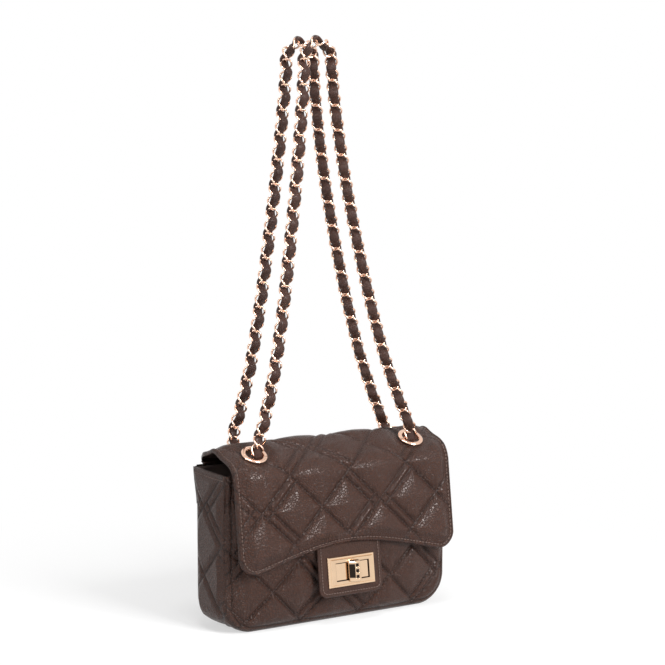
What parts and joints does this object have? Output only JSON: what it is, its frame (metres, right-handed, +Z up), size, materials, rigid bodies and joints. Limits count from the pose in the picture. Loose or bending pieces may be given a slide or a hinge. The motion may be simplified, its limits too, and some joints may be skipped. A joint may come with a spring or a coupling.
{
  "type": "quilted flap shoulder bag",
  "caption": "Small quilted leather flap bag with a metal turn lock and woven chain and leather strap loops passing through eyelets in the flap.",
  "frame": {"origin": "middle of the bag's underside, where it rests", "axes": "+Z up towards the standing chain loops, -Y out of the front with the turn lock, X along the bag's width"},
  "size_m": [0.2, 0.0839, 0.448],
  "materials": {
    "body_leather": "semi-gloss grained calf leather, diamond quilted",
    "flap_leather": "semi-gloss grained calf leather",
    "lining": "matt woven lining",
    "board": "matt stiffening board",
    "zip": "satin metal",
    "eyelet_gold": "polished rose gold plate",
    "lock_gold": "polished pale gold plate",
    "chain_gold": "polished rose gold plate",
    "lace_leather": "smooth leather lace"
  },
  "bodies": {
    "bag_body": {"front_panel": "body_leather", "back_panel": "body_leather", "gusset": "body_leather", "base_board": "board", "lining_side_strip": "lining", "lining_front": "lining", "lining_back": "lining", "zip_tape_lower": "zip", "zip_tape_upper": "zip", "zip_pocket_bag": "lining", "lock_base": "lock_gold"},
    "flap": {"flap_outer": "flap_leather", "flap_lining": "lining", "lock_tab": "flap_leather", "lock_tab_backing": "lining", "lock_frame": "lock_gold", "lock_frame_back_plate": "lock_gold", "lock_frame_screw_left": "lock_gold", "lock_frame_screw_right": "lock_gold", "left_passage_links": "chain_gold", "right_passage_links": "chain_gold", "left_passage_lace": "lace_leather", "right_passage_lace": "lace_leather", "front_left_eyelet": "eyelet_gold", "front_left_eyelet_washer": "eyelet_gold", "front_right_eyelet": "eyelet_gold", "front_right_eyelet_washer": "eyelet_gold", "back_left_eyelet": "eyelet_gold", "back_left_eyelet_washer": "eyelet_gold", "back_right_eyelet": "eyelet_gold", "back_right_eyelet_washer": "eyelet_gold"},
    "front_strap": {"front_strap_links": "chain_gold", "front_strap_lace": "lace_leather"},
    "back_strap": {"back_strap_links": "chain_gold", "back_strap_lace": "lace_leather"},
    "lock_knob": {"lock_knob": "lock_gold"},
    "zip_slider": {"zip_slider": "zip"},
    "zip_pull": {"zip_pull": "zip"}
  },
  "joints": [
    {"name": "flap_open", "type": "hinge", "parent": "bag_body", "child": "flap", "pos_m": [0, 0.02721, 0.12445], "axis": [-1, 0, 0], "range_deg": [0, 100]},
    {"name": "front_strap_fall", "type": "hinge", "parent": "flap", "child": "front_strap", "pos_m": [0, -0.02087, 0.1428], "axis": [1, 0, 0], "range_deg": [0, 110]},
    {"name": "back_strap_fall", "type": "hinge", "parent": "flap", "child": "back_strap", "pos_m": [0, 0.02087, 0.1428], "axis": [-1, 0, 0], "range_deg": [0, 80]},
    {"name": "lock_turn", "type": "hinge", "parent": "bag_body", "child": "lock_knob", "pos_m": [0, -0.04463, 0.0425], "axis": [0, -0.9914, 0.1305], "range_deg": [0, 90]},
    {"name": "zip_run", "type": "slide", "parent": "bag_body", "child": "zip_slider", "axis": [1, 0, 0], "range_m": [0, 0.082]},
    {"name": "zip_pull_swing", "type": "hinge", "parent": "zip_slider", "child": "zip_pull", "pos_m": [-0.041, 0.01725, 0.08], "axis": [-1, 0, 0], "range_deg": [0, 75]}
  ]
}
